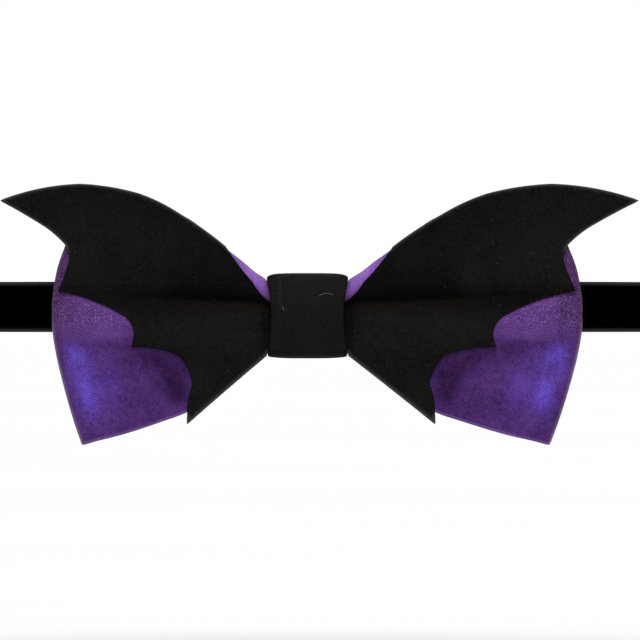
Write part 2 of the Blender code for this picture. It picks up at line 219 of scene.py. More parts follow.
class WingSettings(bpy.types.PropertyGroup):
    thickness: length_prop(
        "Thickness", "Thickness of the black cloth", 0.6 * MM)
    edge_radius: length_prop(
        "Edge radius", "Rounding of the cut edge", 0.28 * MM)
    colour: colour_prop(
        "Colour", "Colour of the black cloth", (0.0043, 0.0042, 0.0039))
    # Painted light: a brownish tone on the cloth just below the crease, where it faces up
    warm_light_colour: colour_prop(
        "Warm colour", "Colour of the cloth just below the crease", (0.0062, 0.0034, 0.0023))
    # Painted light: the light that the fibres of the cut edge take
    edge_sheen_colour: colour_prop(
        "Edge colour", "Colour of the fibres at the cut edge", (0.046, 0.045, 0.043))
    fibre_density: bpy.props.FloatProperty(
        name="Fibres", description="Loose fibres for each square metre of cloth",
        default=900000.0, min=0.0)
    lint_density: bpy.props.FloatProperty(
        name="Lint", description="Pale specks of lint for each square metre of cloth",
        default=40000.0, min=0.0)


class KnotSettings(bpy.types.PropertyGroup):
    thickness: length_prop(
        "Thickness", "Thickness of the folded band", 1.0 * MM)
    colour: colour_prop(
        "Colour", "Colour of the band", (0.0041, 0.0041, 0.0040))
    # Painted light: the band's upper part is lighter and more brownish, as it faces up
    lit_top_colour: colour_prop(
        "Top colour", "Colour of the band's upper part", (0.0066, 0.0061, 0.0050))
    rib_pitch: length_prop(
        "Rib pitch", "Distance between the threads of the band", 0.5 * MM)


class StrapSettings(bpy.types.PropertyGroup):
    colour: colour_prop(
        "Colour", "Colour of the tape", (0.0002, 0.0002, 0.0002))
    # Painted sheen along the tape's two edges
    edge_sheen_colour: colour_prop(
        "Edge colour", "Colour of the tape's woven edges", (0.035, 0.035, 0.035))
    rib_pitch: length_prop(
        "Rib pitch", "Distance between the ribs across the tape", 0.8 * MM)
    rib_height: length_prop(
        "Rib height", "How far a rib stands out of the tape", 0.09 * MM)


class ClaspSettings(bpy.types.PropertyGroup):
    wall: length_prop(
        "Wall", "Wall of the sleeve", 1.15 * MM)
    colour: colour_prop(
        "Colour", "Colour of the clasp", (0.009, 0.009, 0.0095))


class StageSettings(bpy.types.PropertyGroup):
    camera_distance: length_prop(
        "Camera distance", "From the lens to the bow", 2.5)
    picture_width: length_prop(
        "Picture width", "Width of the view at the bow", 132.2 * MM)
    floor_drop: length_prop(
        "Floor", "From the bow's lowest point down to the floor", 45.0 * MM)
    key_strength: bpy.props.FloatProperty(
        name="Key light", description="Strength of the soft light above the bow", default=3.6)
    key_height: bpy.props.FloatProperty(
        name="Key height", description="Angle of the key light above the floor",
        default=math.radians(42.0), subtype="ANGLE")
    key_softness: bpy.props.FloatProperty(
        name="Key softness", description="Angle that the key light spans",
        default=math.radians(35.0), subtype="ANGLE")
    room_light: bpy.props.FloatProperty(
        name="Room light", description="Strength of the even light from all round",
        default=0.35)


# Node graphs

class Channel:
    """A socket that carries numbers; arithmetic on it adds Math nodes."""

    def __init__(self, graph, socket):
        self.graph = graph
        self.socket = socket

    def math(self, operation, *values):
        sockets = dict(enumerate(values))
        return self.graph.add("ShaderNodeMath", {"operation": operation}, sockets)

    def __add__(self, other):
        return self.math("ADD", self, other)

    __radd__ = __add__

    def __mul__(self, other):
        return self.math("MULTIPLY", self, other)

    __rmul__ = __mul__

    def __sub__(self, other):
        return self.math("SUBTRACT", self, other)

    def __rsub__(self, other):
        return self.math("SUBTRACT", other, self)

    def __abs__(self):
        return self.math("ABSOLUTE", self)

    def wave(self, period):
        """From 0 to 1 and back once in each period."""
        return self.math("SINE", self * (2.0 * math.pi / period)) * 0.5 + 0.5

    def between(self, low, high):
        """0 at low and 1 at high, smooth between them."""
        return self.graph.add(
            "ShaderNodeMapRange", {"interpolation_type": "SMOOTHSTEP"},
            {"Value": self, "From Min": low, "From Max": high})


class Graph:
    """A node tree under way."""

    def __init__(self, tree):
        self.tree = tree

    def add(self, kind, settings, sockets, output=0):
        """A node with its settings, then the values or links of its sockets."""
        node = self.tree.nodes.new(kind)
        for name, value in settings.items():
            setattr(node, name, value)
        for name, value in sockets.items():
            self.feed(node.inputs[name], value)
        return Channel(self, node.outputs[output])

    def feed(self, socket, value):
        if isinstance(value, Channel):
            self.tree.links.new(value.socket, socket)
        elif socket.type == "RGBA" and len(value) == 3:
            socket.default_value = (*value, 1.0)
        else:
            socket.default_value = value


class Finish(Graph):
    """A material under way: a Principled shader and the nodes that feed it."""

    def __init__(self, name, **constants):
        self.material = bpy.data.materials.new(name)
        self.material.use_nodes = True
        super().__init__(self.material.node_tree)
        self.shader = self.tree.nodes["Principled BSDF"]
        self.set(**constants)

    def set(self, **links):
        """Values or links of the shader's sockets, with _ for each space in a name."""
        for socket, value in links.items():
            self.feed(self.shader.inputs[socket.replace("_", " ")], value)
        return self.material

    def place(self):
        """The object's own coordinates, and then x, y and z, in metres."""
        point = self.add("ShaderNodeTexCoord", {}, {}, "Object")
        return point, [self.add("ShaderNodeSeparateXYZ", {}, {0: point}, axis)
                       for axis in range(3)]

    def attribute(self, name):
        return self.add("ShaderNodeAttribute", {"attribute_name": name}, {}, "Fac")

    def noise(self, point, size, detail=2.0, roughness=0.5, distortion=0.0):
        """Noise from about 0.3 to 0.7 with patches of a size in metres."""
        sockets = {"Vector": point, "Scale": 1.0 / size, "Detail": detail,
                   "Roughness": roughness, "Distortion": distortion}
        return self.add("ShaderNodeTexNoise", {"noise_dimensions": "3D"}, sockets, "Fac")

    def mix(self, share, first, second):
        """A colour from first to second."""
        return self.add("ShaderNodeMix", {"data_type": "RGBA"}, {0: share, 6: first, 7: second}, 2)

    def tones(self, share, colour, low, high):
        """A colour between two tones of itself."""
        return self.mix(share, shaded(colour, low), shaded(colour, high))

    def bump(self, height, distance, strength=1.0):
        return self.add("ShaderNodeBump", {},
                        {"Height": height, "Distance": distance, "Strength": strength}, "Normal")


def shaded(colour, factor):
    return tuple(factor * part for part in colour)


def satin_finish(settings):
    """Twill satin, with painted highlights and painted shade.

    Its attributes are in metres, apart from the three amounts of painted light and shade.
    """
    finish = Finish("satin", Specular_IOR_Level=0.3, Specular_Tint=tuple(settings.gloss_tint))
    point, _ = finish.place()
    reach, rise = finish.attribute("reach"), finish.attribute("rise")
    inset, hem = finish.attribute("inset"), finish.attribute("hem")
    glow, hollow, catch = (finish.attribute(name) for name in ("glow", "hollow", "catch"))
    drift = (finish.noise(point, 5.0 * MM) - 0.5) * (0.8 * MM)
    sine, cosine = math.sin(settings.twill_angle), math.cos(settings.twill_angle)
    tufts = finish.noise(point, 1.0 * MM, detail=1.0)
    across = reach * sine + rise * cosine + drift + (tufts - 0.5) * (0.3 * MM)
    along = reach * cosine - rise * sine
    threads = finish.noise(point, 0.24 * MM, detail=3.0, roughness=0.7)
    patches = finish.noise(point, 6.0 * MM)
    lines = across.wave(settings.twill_pitch)
    floats = (along + (tufts - 0.5) * (0.9 * MM)).wave(settings.twill_pitch * 1.3)
    dots = lines * (floats * 0.7 + 0.3)
    sparks = finish.noise(point, 0.2 * MM, detail=1.0).between(0.56, 0.66)
    above = rise.between(0.0, 0.9 * MM)
    high = rise.between(1.0 * MM, 4.5 * MM)
    strip = (1.0 - inset.between(1.5 * MM, 3.1 * MM)) * (rise.between(0.5 * MM, 6.0 * MM) * 0.9 + 0.1)
    edge = 1.0 - inset.between(0.1 * MM, 0.75 * MM)
    # Near the hems, where a thin painted highlight runs along the edge
    fold = 1.0 - hem.between(0.0, 0.5 * MM)
    light = ((dots - 0.27) * (patches * 2.2 - 0.45 + glow * 0.5) + (threads - 0.5) * 2.4
             + (tufts - 0.5) + (patches - 0.5) * 1.2 + 0.47).between(-0.1, 1.1)
    rough = ((threads - 0.5) * (high * 2.9 + 1.0) + (dots - 0.27) * (high * 1.7 + 0.4)
             + (patches - 0.5) * 0.8 + high * 0.08 + 0.5).between(0.0, 1.0)
    cloth = finish.mix(light, settings.shade, settings.colour)
    # Painted light: the lap above the ridge, which tilts up, gets its own redder tone
    lap = finish.tones(rough, settings.lit_lap_colour, 0.3, 1.7)
    cloth = finish.mix(above * 0.88, cloth, lap)
    # Painted highlights where the satin shines
    shine = finish.tones(light, settings.glow_colour, 0.55, 1.25)
    cloth = finish.mix(glow * 0.85, cloth, shine)
    # Painted highlights where the satin turns up to the light
    cloth = finish.mix(catch * (threads * 2.4 - 0.3), cloth, settings.catchlight_colour)
    # Painted shade where the satin sinks away from the light
    dark = finish.tones(light, settings.painted_shade_colour, 0.2, 1.8)
    cloth = finish.mix(hollow * 0.95, cloth, dark)
    border = finish.tones(rough, settings.strip_colour, 0.25, 1.5)
    cloth = finish.mix(strip * 0.88, cloth, border)
    # Painted glints on the threads, more where the satin is lit, and a painted highlight along the hems
    painted_highlights = sparks * (high * 0.5 + glow * 0.35 + 0.06) + fold * (threads * 0.7)
    cloth = finish.mix(painted_highlights.between(0.0, 1.3), cloth, settings.highlight_colour)
    # A lighter line of threads right at the folded ends, faint where the dark strip is strong
    cloth = finish.mix(edge * (1.0 - strip * 0.9) * ((threads - 0.38) * 2.3), cloth,
                       settings.rim_colour)
    height = dots * 0.7 + threads * 0.5
    return finish.set(Base_Color=cloth, Roughness=0.46 + (threads - 0.5) * 0.3 + strip * 0.15,
                      Normal=finish.bump(height, 0.07 * MM, 0.9))


def black_cloth_finish(settings):
    finish = Finish("black_cloth", Specular_IOR_Level=0.03)
    point, _ = finish.place()
    fibres = finish.noise(point, 0.25 * MM, detail=4.0, roughness=0.65, distortion=0.6)
    nap = finish.noise(point, 0.9 * MM, detail=2.0)
    patches = finish.noise(point, 9.0 * MM)
    blots = finish.noise(point, 1.1 * MM, detail=3.0, distortion=0.5)
    edge, fold, warm, lit = (finish.attribute(name) for name in ("edge", "fold", "warm", "lit"))
    tone = (fibres * 2.0 + nap * 0.4 + patches * 0.5 - 0.95).between(0.0, 1.0)
    cloth = finish.tones(tone, settings.colour, 0.12, 1.6)
    # Painted light where the cloth is lighter, beside the knot, by the arm and below the crease
    cloth = finish.mix(lit * (nap * 1.2), cloth, shaded(settings.colour, 2.0))
    # Painted light: a brownish tone just below the crease, where the cloth faces up
    cloth = finish.mix(warm * ((blots - 0.36) * 4.4), cloth, settings.warm_light_colour)
    # Painted shade along the crease, above and below it and beside the knot
    cloth = finish.mix(fold * (blots * 0.8 + 0.6), cloth, shaded(settings.colour, 0.1))
    # Painted light on the fibres of the cut edge
    colour = finish.mix(edge * (fibres * 1.4 + 0.2), cloth, settings.edge_sheen_colour)
    height = fibres * 0.7 + nap * 0.4
    return finish.set(Base_Color=colour, Roughness=0.86 + (fibres - 0.5) * 0.2,
                      Normal=finish.bump(height, 0.14 * MM, 0.8))


def fibre_finish(name, colour):
    finish = Finish(name, Specular_IOR_Level=0.1)
    point, _ = finish.place()
    tone = finish.noise(point, 3.0 * MM)
    return finish.set(Base_Color=finish.mix(tone, shaded(colour, 0.4), colour),
                      Roughness=0.7 + tone * 0.2)


def knot_finish(settings):
    finish = Finish("black_ribbed_cloth", Specular_IOR_Level=0.04)
    point, (x, y, z) = finish.place()
    drift = (finish.noise(point, 4.0 * MM) - 0.5) * (0.25 * MM)
    ribs = (z - y + drift).wave(settings.rib_pitch)
    threads = (x + drift).wave(settings.rib_pitch * 0.9)
    fibres = finish.noise(point, 0.22 * MM, detail=3.0)
    patches = finish.noise(point, 6.0 * MM)
    crease, edge = finish.attribute("crease"), finish.attribute("edge")
    weave = ribs * 0.5 + threads * 0.5
    tone = (weave * 0.45 + fibres * 1.7 + patches * 0.4 - 0.75).between(0.0, 1.0)
    # Painted light: the upper part of the band is lighter and more brownish, as it faces up
    top = z.between(-4.0 * MM, 5.0 * MM)
    cloth = finish.tones(tone, settings.colour, 0.2, 1.45)
    warm = finish.tones(tone, settings.lit_top_colour, 0.25, 1.55)
    colour = finish.mix(top * 0.9, cloth, warm)
    knots = finish.noise(point, 0.45 * MM, detail=2.0)
    colour = finish.mix(crease * ((knots - 0.4) * 3.2), colour, shaded(settings.lit_top_colour, 4.0))
    # Painted highlight along the band's top and bottom edges
    colour = finish.mix(edge * (fibres * 1.2), colour, shaded(settings.lit_top_colour, 4.0))
    return finish.set(Base_Color=colour, Roughness=0.78 + (fibres - 0.5) * 0.2,
                      Normal=finish.bump(weave * 0.6 + fibres * 0.5, 0.08 * MM, 0.9))


def tape_finish(settings):
    finish = Finish("black_tape", Specular_IOR_Level=0.0)
    point, (_, _, z) = finish.place()
    fibres = finish.noise(point, 0.18 * MM, detail=3.0)
    strands = (z + (fibres - 0.5) * (0.1 * MM)).wave(0.45 * MM)
    tone = (strands * 0.5 + fibres * 0.6 - 0.05).between(0.1, 0.9)
    colour = finish.tones(tone, settings.colour, 0.3, 1.5)
    # Painted sheen along both edges of the tape
    edge = abs(z).between(STRAP_HIGH.z - 0.8 * MM, STRAP_HIGH.z)
    colour = finish.mix(edge * (fibres * 1.2), colour, settings.edge_sheen_colour)
    return finish.set(Base_Color=colour, Roughness=0.75 + (fibres - 0.5) * 0.2,
                      Normal=finish.bump(strands * 0.5 + fibres * 0.5, 0.05 * MM, 0.8))


def clasp_finish(settings):
    finish = Finish("black_plastic", Specular_IOR_Level=0.45)
    point, _ = finish.place()
    grain = finish.noise(point, 0.12 * MM, detail=3.0)
    wear = finish.noise(point, 2.5 * MM, detail=3.0)
    colour = finish.tones(wear, settings.colour, 0.8, 1.6)
    return finish.set(Base_Color=colour, Roughness=0.38 + wear * 0.2,
                      Normal=finish.bump(grain, 0.02 * MM, 0.6))


def floor_finish():
    finish = Finish("floor", Roughness=0.9, Specular_IOR_Level=0.2)
    point, _ = finish.place()
    tone = finish.noise(point, 0.4)
    return finish.set(Base_Color=finish.mix(tone, (0.91, 0.91, 0.91), (0.94, 0.94, 0.94)))


# Surfaces

def clamped(values):
    return np.clip(values, 0.0, 1.0)


def limited_slopes(places, values):
    """Slopes at the table's rows that keep a curve through them free of overshoot."""
    secants = np.diff(values) / np.diff(places)
    products = secants[:-1] * secants[1:]
    sums = secants[:-1] + secants[1:]
    inner = np.where(products > 0.0, 2.0 * products / np.where(sums == 0.0, 1.0, sums), 0.0)
    return np.concatenate(([secants[0]], inner, [secants[-1]]))


PLACES = np.array([section.reach for section in SECTIONS])
COLUMNS = {name: np.array([getattr(section, name) for section in SECTIONS])
           for name in Section._fields[1:]}
SLOPES = {name: limited_slopes(PLACES, values) for name, values in COLUMNS.items()}


def curve(name, reach):
    """One column of SECTIONS as a smooth function of the reach in metres."""
    place = np.clip(np.asarray(reach) / MM, 0.0, PLACES[-1])
    index = np.clip(np.searchsorted(PLACES, place, side="right") - 1, 0, len(PLACES) - 2)
    span = PLACES[index + 1] - PLACES[index]
    part = (place - PLACES[index]) / span
    square, cube = part ** 2, part ** 3
    values, slopes = COLUMNS[name], SLOPES[name]
    return (values[index] * (2.0 * cube - 3.0 * square + 1.0)
            + values[index + 1] * (3.0 * square - 2.0 * cube)
            + slopes[index] * span * (cube - 2.0 * square + part)
            + slopes[index + 1] * span * (cube - square))


def fold_height(name, reach):
    """A fold line's height at a reach, as a part of the half height."""
    edges = {"bottom": -1.0, "top": 1.0}
    return np.full_like(reach, edges[name]) if name in edges else curve(name, reach)


def end_reach(part):
    """Reach of the bow's folded end, at a height given as a part of the half height."""
    rise = END_SLOPE * part * CORNER_HALF_HEIGHT
    share = clamped(np.abs(part))
    bulge = END_BULGE * 4.0 * share * (1.0 - share)
    shift = np.interp(part * CORNER_HALF_HEIGHT / MM, *zip(*END_SHIFTS)) * MM
    return MIDDLE_REACH - (np.hypot(END_ROUNDING, rise) - END_ROUNDING) + bulge + shift


def front_depth(reach, part):
    """How far the front skin stands before the bow's middle plane."""
    depth = curve("bottom_y", reach)
    for stretch in STRETCHES:
        low, high = fold_height(stretch.start, reach), fold_height(stretch.end, reach)
        share = clamped((part - low) / (high - low))
        rise = curve(stretch.end + "_y", reach) - curve(stretch.start + "_y", reach)
        depth = depth + rise * EASES[stretch.ease](share)
    return depth * MM + creases(reach, part)


def creases(reach, part):
    """Small pleats that run out of the knot and soft waves further out."""
    place = reach / MM
    near = clamped((place - 8.6) / 3.0) * np.exp(-np.clip(place - 9.0, 0.0, None) / 7.0)
    far = clamped((place - 14.0) / 10.0)
    pleats = 0.24 * near * np.cos(part * 13.0 + 0.7)
    waves = 0.13 * far * np.sin(place * 0.21 + part * 4.3 + 1.1) * np.cos(part * 2.2 - 0.4)
    return (pleats + waves) * MM


def stretched(side, across):
    """A distance from the middle, where each half of the bow beyond the knot has its length."""
    factor = LEFT_STRETCH if side < 0 else RIGHT_STRETCH
    return np.minimum(across, KNOT_EDGE) + np.maximum(across - KNOT_EDGE, 0.0) * factor


def bow_points(side, reach, part, forward):
    """Points of the bow in front of its middle plane, for arrays of one shape."""
    across = stretched(side, reach * end_reach(part) / CORNER_REACH)
    back = SWEEP * (across / SWEEP_REACH) ** 2
    height = BOW_HEIGHT + part * curve("half_height", reach) * MM
    return np.stack([side * across, BOW_DEPTH - forward + back, height], axis=-1)


def front_rows(reach):
    """Heights of the front skin's rows at each reach, from the bottom edge up."""
    rows = []
    for stretch in STRETCHES:
        low, high = fold_height(stretch.start, reach), fold_height(stretch.end, reach)
        rows += [low + (high - low) * step / stretch.rows for step in range(stretch.rows)]
    rows.append(fold_height("top", reach))
    return np.stack(rows, axis=-1)


# Meshes

def add_piece(name, verts, faces, material):
    """A mesh object with its place in its mesh."""
    mesh = bpy.data.meshes.new(name)
    mesh.from_pydata([tuple(point) for point in verts], [], faces)
    mesh.materials.append(material)
    mesh.shade_smooth()
    piece = bpy.data.objects.new(name, mesh)
    bpy.context.collection.objects.link(piece)
    return piece


def dress(piece, slot, *nodes):
    """Hangs a piece on the body, in place of CAD nodes."""
    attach(piece, BODY)
    if nodes:
        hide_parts(*nodes)


def set_attribute(piece, name, values):
    layer = piece.data.attributes.new(name, "FLOAT", "POINT")
    layer.data.foreach_set("value", np.asarray(values, np.float32))


def unit(vectors):
    return vectors / np.linalg.norm(vectors, axis=-1, keepdims=True)


def column_steps(grid, closed):
    """Differences along the columns of a grid of points, centred."""
    if closed:
        return np.roll(grid, -1, axis=0) - np.roll(grid, 1, axis=0)
    return np.gradient(grid, axis=0)


RIM_STEPS = 3


def shell(grid, thickness, closed):
    """Cloth of a thickness behind a grid of outer points, with round rims along its rows' ends.

    The grid has columns, rows and three coordinates. The result's rows run up the outer
    skin, over the top rim, down the inner skin and round the bottom rim.
    """
    up = np.gradient(grid, axis=1)
    normal = unit(np.cross(column_steps(grid, closed), up))
    inner = grid - normal * thickness
    half = thickness / 2.0
    rims = []
    for row, sense in ((-1, 1.0), (0, -1.0)):
        centre = grid[:, row] - normal[:, row] * half
        outward = unit(up[:, row]) * sense
        rim = []
        for step in range(1, RIM_STEPS + 1):
            angle = math.pi * step / (RIM_STEPS + 1)
            rim.append(centre + half * (math.cos(angle) * normal[:, row]
                                        + math.sin(angle) * outward))
        rims.append(np.stack(rim, axis=1))
    top, bottom = rims
    return np.concatenate([grid, top, inner[:, ::-1], bottom[:, ::-1]], axis=1)


def spread(values):
    """A value for each point of a grid, in the order of the points of its shell."""
    top = np.repeat(values[:, -1:], RIM_STEPS, axis=1)
    bottom = np.repeat(values[:, :1], RIM_STEPS, axis=1)
    return np.concatenate([values, top, values[:, ::-1], bottom], axis=1).ravel()


def loop_faces(columns, rows, closed):
    """Quads of a grid whose rows close on themselves, stored column by column."""
    faces = []
    for column in range(columns if closed else columns - 1):
        here = column * rows
        there = (column + 1) % columns * rows
        for row in range(rows):
            above = (row + 1) % rows
            faces.append((here + row, there + row, there + above, here + above))
    if not closed:
        last = (columns - 1) * rows
        faces.append(tuple(range(rows)))
        faces.append(tuple(last + row for row in range(rows - 1, -1, -1)))
    return faces


def add_shell(name, grid, thickness, closed, material):
    loops = shell(grid, thickness, closed)
    columns, rows = loops.shape[:2]
    return add_piece(name, loops.reshape(-1, 3), loop_faces(columns, rows, closed), material)


# Satin bow

FOLD_STEPS = 12
PINCH_REACHES = (7.9 * MM, 8.25 * MM, 8.6 * MM)
END_DIP = 0.28 * MM


def half_bow(thickness):
    """Reach, part and forward of one half of the band, round from the front to the back."""
    start = CORNER_REACH - FOLD_WIDTH
    reaches = np.sort(np.append(np.linspace(0.0, start, 62), PINCH_REACHES))
    part = front_rows(reaches) * (1.0 - thickness / 2.0 / (curve("half_height", reaches) * MM))[:, None]
    reach = np.repeat(reaches[:, None], part.shape[1], axis=1)
    dip = END_DIP * np.exp(-((CORNER_REACH - reach - 2.1 * MM) / (0.75 * MM)) ** 2)
    front = front_depth(reach, part) - dip
    back = -curve("back_y", reach) * MM + 0.5 * creases(reach, part)
    angles = math.pi * np.arange(1, FOLD_STEPS) / FOLD_STEPS
    middle, swing = (front[-1] + back[-1]) / 2.0, (front[-1] - back[-1]) / 2.0
    fold = middle + swing * np.cos(angles)[:, None]
    fold_reach = np.repeat((start + FOLD_WIDTH * np.sin(angles))[:, None], part.shape[1], axis=1)
    fold_part = np.repeat(part[-1:], FOLD_STEPS - 1, axis=0)
    return (np.concatenate([reach, fold_reach, reach[::-1]]),
            np.concatenate([part, fold_part, part[::-1]]),
            np.concatenate([front, fold, back[::-1]]))


def whole_band(right, left):
    """Values of the right half and then of the left half, as one ring of columns."""
    return np.concatenate([right, left[::-1][1:-1]])


# Places where light and shade are painted into the cloth's colour: painted highlights where
# the satin shines or turns up to the light, painted shade where it sinks away from the light,
# and painted light on the black cloth. across and height are the middle, wide and high the
# half sizes, and lean how far the zone moves outwards for each step up.
Zone = namedtuple("Zone", "place across height wide high lean amount")
# Painted highlights on the satin
GLOWS = (
    Zone("under the ridge", 49.6, -9.6, 2.1, 2.3, 0.4, 0.78),
    Zone("outside the glow", 50.6, -12.6, 1.3, 2.4, 0.0, 0.5),
    Zone("along the folded end", 47.4, -17.8, 2.1, 4.8, 0.14, 0.91),
    Zone("round both", 45.2, -14.6, 4.4, 7.5, 0.25, 0.18),
    Zone("off the glow", 42.0, -17.0, 2.8, 3.6, 0.05, 0.26),
    Zone("in the upper scallop", 45.5, -2.4, 4.0, 1.6, 0.0, 0.08),
    Zone("outside the ridge", 51.2, -4.2, 1.2, 1.4, 0.0, 0.16),
)
# Painted shade on the satin
PAINTED_SHADE_ZONES = (
    Zone("beside the lower scallop", 29.2, -14.6, 2.6, 3.6, 0.5, 1.0),
    Zone("at the lower tip", 27.5, -18.5, 2.6, 2.6, 0.0, 0.7),
    Zone("under the wing's cusp", 33.8, -10.2, 7.0, 2.3, 0.0, 0.6),
    Zone("below the ridge", 42.5, -8.0, 6.5, 1.3, 0.0, 0.24),
    Zone("in the lower scallop", 26.4, -12.6, 2.4, 2.8, 0.0, 0.7),
    Zone("between the folds", 35.0, -19.3, 6.0, 5.0, 0.0, 0.28),
    Zone("inside the folded end", 50.9, -1.0, 0.9, 5.5, 0.0, 0.55),
)
# Painted highlights where the satin turns up to the light
CATCHLIGHTS = (
    Zone("on top beside the knot", 11.0, 6.0, 3.6, 4.2, 0.8, 1.0),
    Zone("above the ridge", 43.0, -5.8, 9.0, 1.2, 0.0, 0.1),
    Zone("along the wing", 46.9, 1.9, 4.0, 1.5, 0.0, 0.08),
    Zone("at the lowest corner", 49.0, -25.5, 1.8, 3.0, 0.2, 0.07),
)
# Painted light on the black cloth
LIT_CLOTH = (
    Zone("beside the knot", 14.0, -5.0, 6.0, 4.5, 0.0, 0.8),
    Zone("by the arm", 49.0, 12.0, 7.0, 6.0, 0.0, 0.4),
    Zone("below the crease", 28.0, -5.8, 8.0, 3.2, 0.0, 0.6),
)


def zone_amount(zones, across, height):
    """How far a group of zones shows at each place, from 0 to 1."""
    total = np.zeros_like(across)
    for zone in zones:
        up = (height - zone.height * MM) / (zone.high * MM)
        out = across - zone.across * MM - zone.lean * (height - zone.height * MM)
        total = total + zone.amount * np.exp(-up ** 2 - (out / (zone.wide * MM)) ** 2)
    return clamped(total)


def make_satin_bow(settings):
    reach, part, forward = half_bow(settings.thickness)
    grid = whole_band(bow_points(1, reach, part, forward), bow_points(-1, reach, part, forward))
    bow = add_shell("satin_cloth", grid, settings.thickness, True, satin_finish(settings))
    reach, part = whole_band(reach, reach), whole_band(part, part)
    half_height = curve("half_height", reach) * MM
    height = BOW_HEIGHT + part * half_height
    across = reach * end_reach(part) / CORNER_REACH
    steps = np.linalg.norm(np.diff(grid, axis=1), axis=-1)
    rise = np.concatenate([np.zeros((len(grid), 1)), np.cumsum(steps, axis=1)], axis=1)
    ridge = sum(stretch.rows for stretch in STRETCHES[:2])
    values = {
        "reach": reach,
        "rise": rise - rise[:, ridge:ridge + 1],
        "inset": CORNER_REACH - reach,
        "hem": (1.0 - np.abs(part)) * half_height - settings.thickness / 2.0,
        # Amounts of painted highlight, painted shade and painted highlight where the satin turns up
        "glow": zone_amount(GLOWS, across, height),
        "hollow": zone_amount(PAINTED_SHADE_ZONES, across, height),
        "catch": zone_amount(CATCHLIGHTS, across, height),
    }
    for name, value in values.items():
        set_attribute(bow, name, spread(value))
    dress(bow, "satin", "satin_bow")
    return bow


# Batwings

def arc_points(start, end, sag, spacing):
    """Points from start to just before end along an arc that rises by sag to the left."""
    chord = end - start
    length = np.hypot(*chord)
    steps = max(1, round(length / spacing))
    shares = np.arange(steps) / steps
    if abs(sag) < 1e-9:
        return start + chord * shares[:, None]
    half = length / 2.0
    radius = (half * half + sag * sag) / (2.0 * sag)
    left = np.array((-chord[1], chord[0])) / length
    centre = start + chord / 2.0 + left * (sag - radius)
    first = start - centre
    angles = -2.0 * math.asin(half / radius) * shares
    cosine, sine = np.cos(angles), np.sin(angles)
    return centre + np.stack([first[0] * cosine - first[1] * sine,
                              first[0] * sine + first[1] * cosine], axis=-1)


def wing_outline(spacing):
    """The wing's edge in (reach, height), with the cloth's small spread past the table's line."""
    points = []
    for point, following in zip(WING_OUTLINE, WING_OUTLINE[1:] + WING_OUTLINE[:1]):
        start = np.array((point.reach, point.height)) * MM
        end = np.array((following.reach, following.height)) * MM
        points.append(arc_points(start, end, point.sag * MM, spacing))
    outline = np.concatenate(points)
    return outline - inward_normals(outline) * WING_SPREAD


def inward_normals(outline):
    """Unit normals that point into a closed outline whose way round is clockwise."""
    along = unit(np.roll(outline, -1, axis=0) - np.roll(outline, 1, axis=0))
    return np.stack([along[:, 1], -along[:, 0]], axis=-1)


def outline_distance(points, outline):
    """Distance of each point to a closed outline."""
    nearest = np.full(len(points), np.inf)
    for start, end in zip(outline, np.roll(outline, -1, axis=0)):
        chord = end - start
        share = clamped((points - start) @ chord / (chord @ chord))
        gaps = np.linalg.norm(points - start - share[:, None] * chord, axis=1)
        nearest = np.minimum(nearest, gaps)
    return nearest


def inside(points, outline):
    """Whether each point lies inside a closed outline."""
    found = np.zeros(len(points), bool)
    for start, end in zip(outline, np.roll(outline, -1, axis=0)):
        crosses = (start[1] > points[:, 1]) != (end[1] > points[:, 1])
        rise = end[1] - start[1]
        safe = rise if abs(rise) > 1e-12 else 1e-12
        at = start[0] + (points[:, 1] - start[1]) * (end[0] - start[0]) / safe
        found ^= crosses & (points[:, 0] < at)
    return found


def fold_lines(names, spacing):
    """Points along fold lines of the bow, as (reach, height) in the flat plan."""
    reach = np.arange(PLACES[0] * MM, PLACES[-1] * MM, spacing)
    lines = []
    for name in names:
        part = curve(name, reach)
        lines.append(np.stack([reach * end_reach(part) / CORNER_REACH,
                               BOW_HEIGHT + part * curve("half_height", reach) * MM], axis=-1))
    return np.concatenate(lines)


def wing_plan(radius, spacing):
    """Flat points of a wing and its triangles: the outline, rings along it, and a field."""
    outline = wing_outline(spacing)
    inward = inward_normals(outline)
    creases = fold_lines(("valley", "ridge"), 0.5 * spacing)
    creases = creases[inside(creases, outline)]
    creases = creases[outline_distance(creases, outline) > radius * 1.7]
    points = [outline, creases]
    for share in (0.12, 0.4, 0.8, 1.3):
        ring = outline + inward * radius * share
        far = outline_distance(ring, outline) > radius * share * 0.85
        points.append(ring[far & inside(ring, outline)])
    low, high = outline.min(axis=0), outline.max(axis=0)
    across = np.arange(low[0], high[0], spacing)
    up = np.arange(low[1], high[1], spacing * math.sqrt(3.0) / 2.0)
    field = np.array([(x + (row % 2) * spacing / 2.0, z)
                      for row, z in enumerate(up) for x in across])
    field = field[inside(field, outline)]
    gaps = np.linalg.norm(field[:, None] - creases[None], axis=-1).min(axis=1)
    field = field[gaps > 0.55 * spacing]
    points.append(field[outline_distance(field, outline) > radius * 1.7])
    flat = np.concatenate(points)
    scaled = [Vector(point / MM) for point in flat]
    result = delaunay_2d_cdt(scaled, [], [list(range(len(outline)))], 1, 1e-5, False)
    plan = np.array([tuple(point) for point in result[0]]) * MM
    triangles = np.array(result[2])
    kept = inside(plan[triangles].mean(axis=1), outline)
    return plan, triangles[kept].tolist(), outline


def wing_places(plan):
    """Reach and height share on the bow of flat points of a wing."""
    reach = plan[:, 0].copy()
    part = np.zeros_like(reach)
    for _ in range(12):
        part = (plan[:, 1] - BOW_HEIGHT) / (curve("half_height", reach) * MM)
        reach = plan[:, 0] * CORNER_REACH / end_reach(part)
    return reach, part


def eased(share):
    """From 0 to 1, flat at both ends."""
    share = clamped(share)
    return share ** 2 * (3.0 - 2.0 * share)


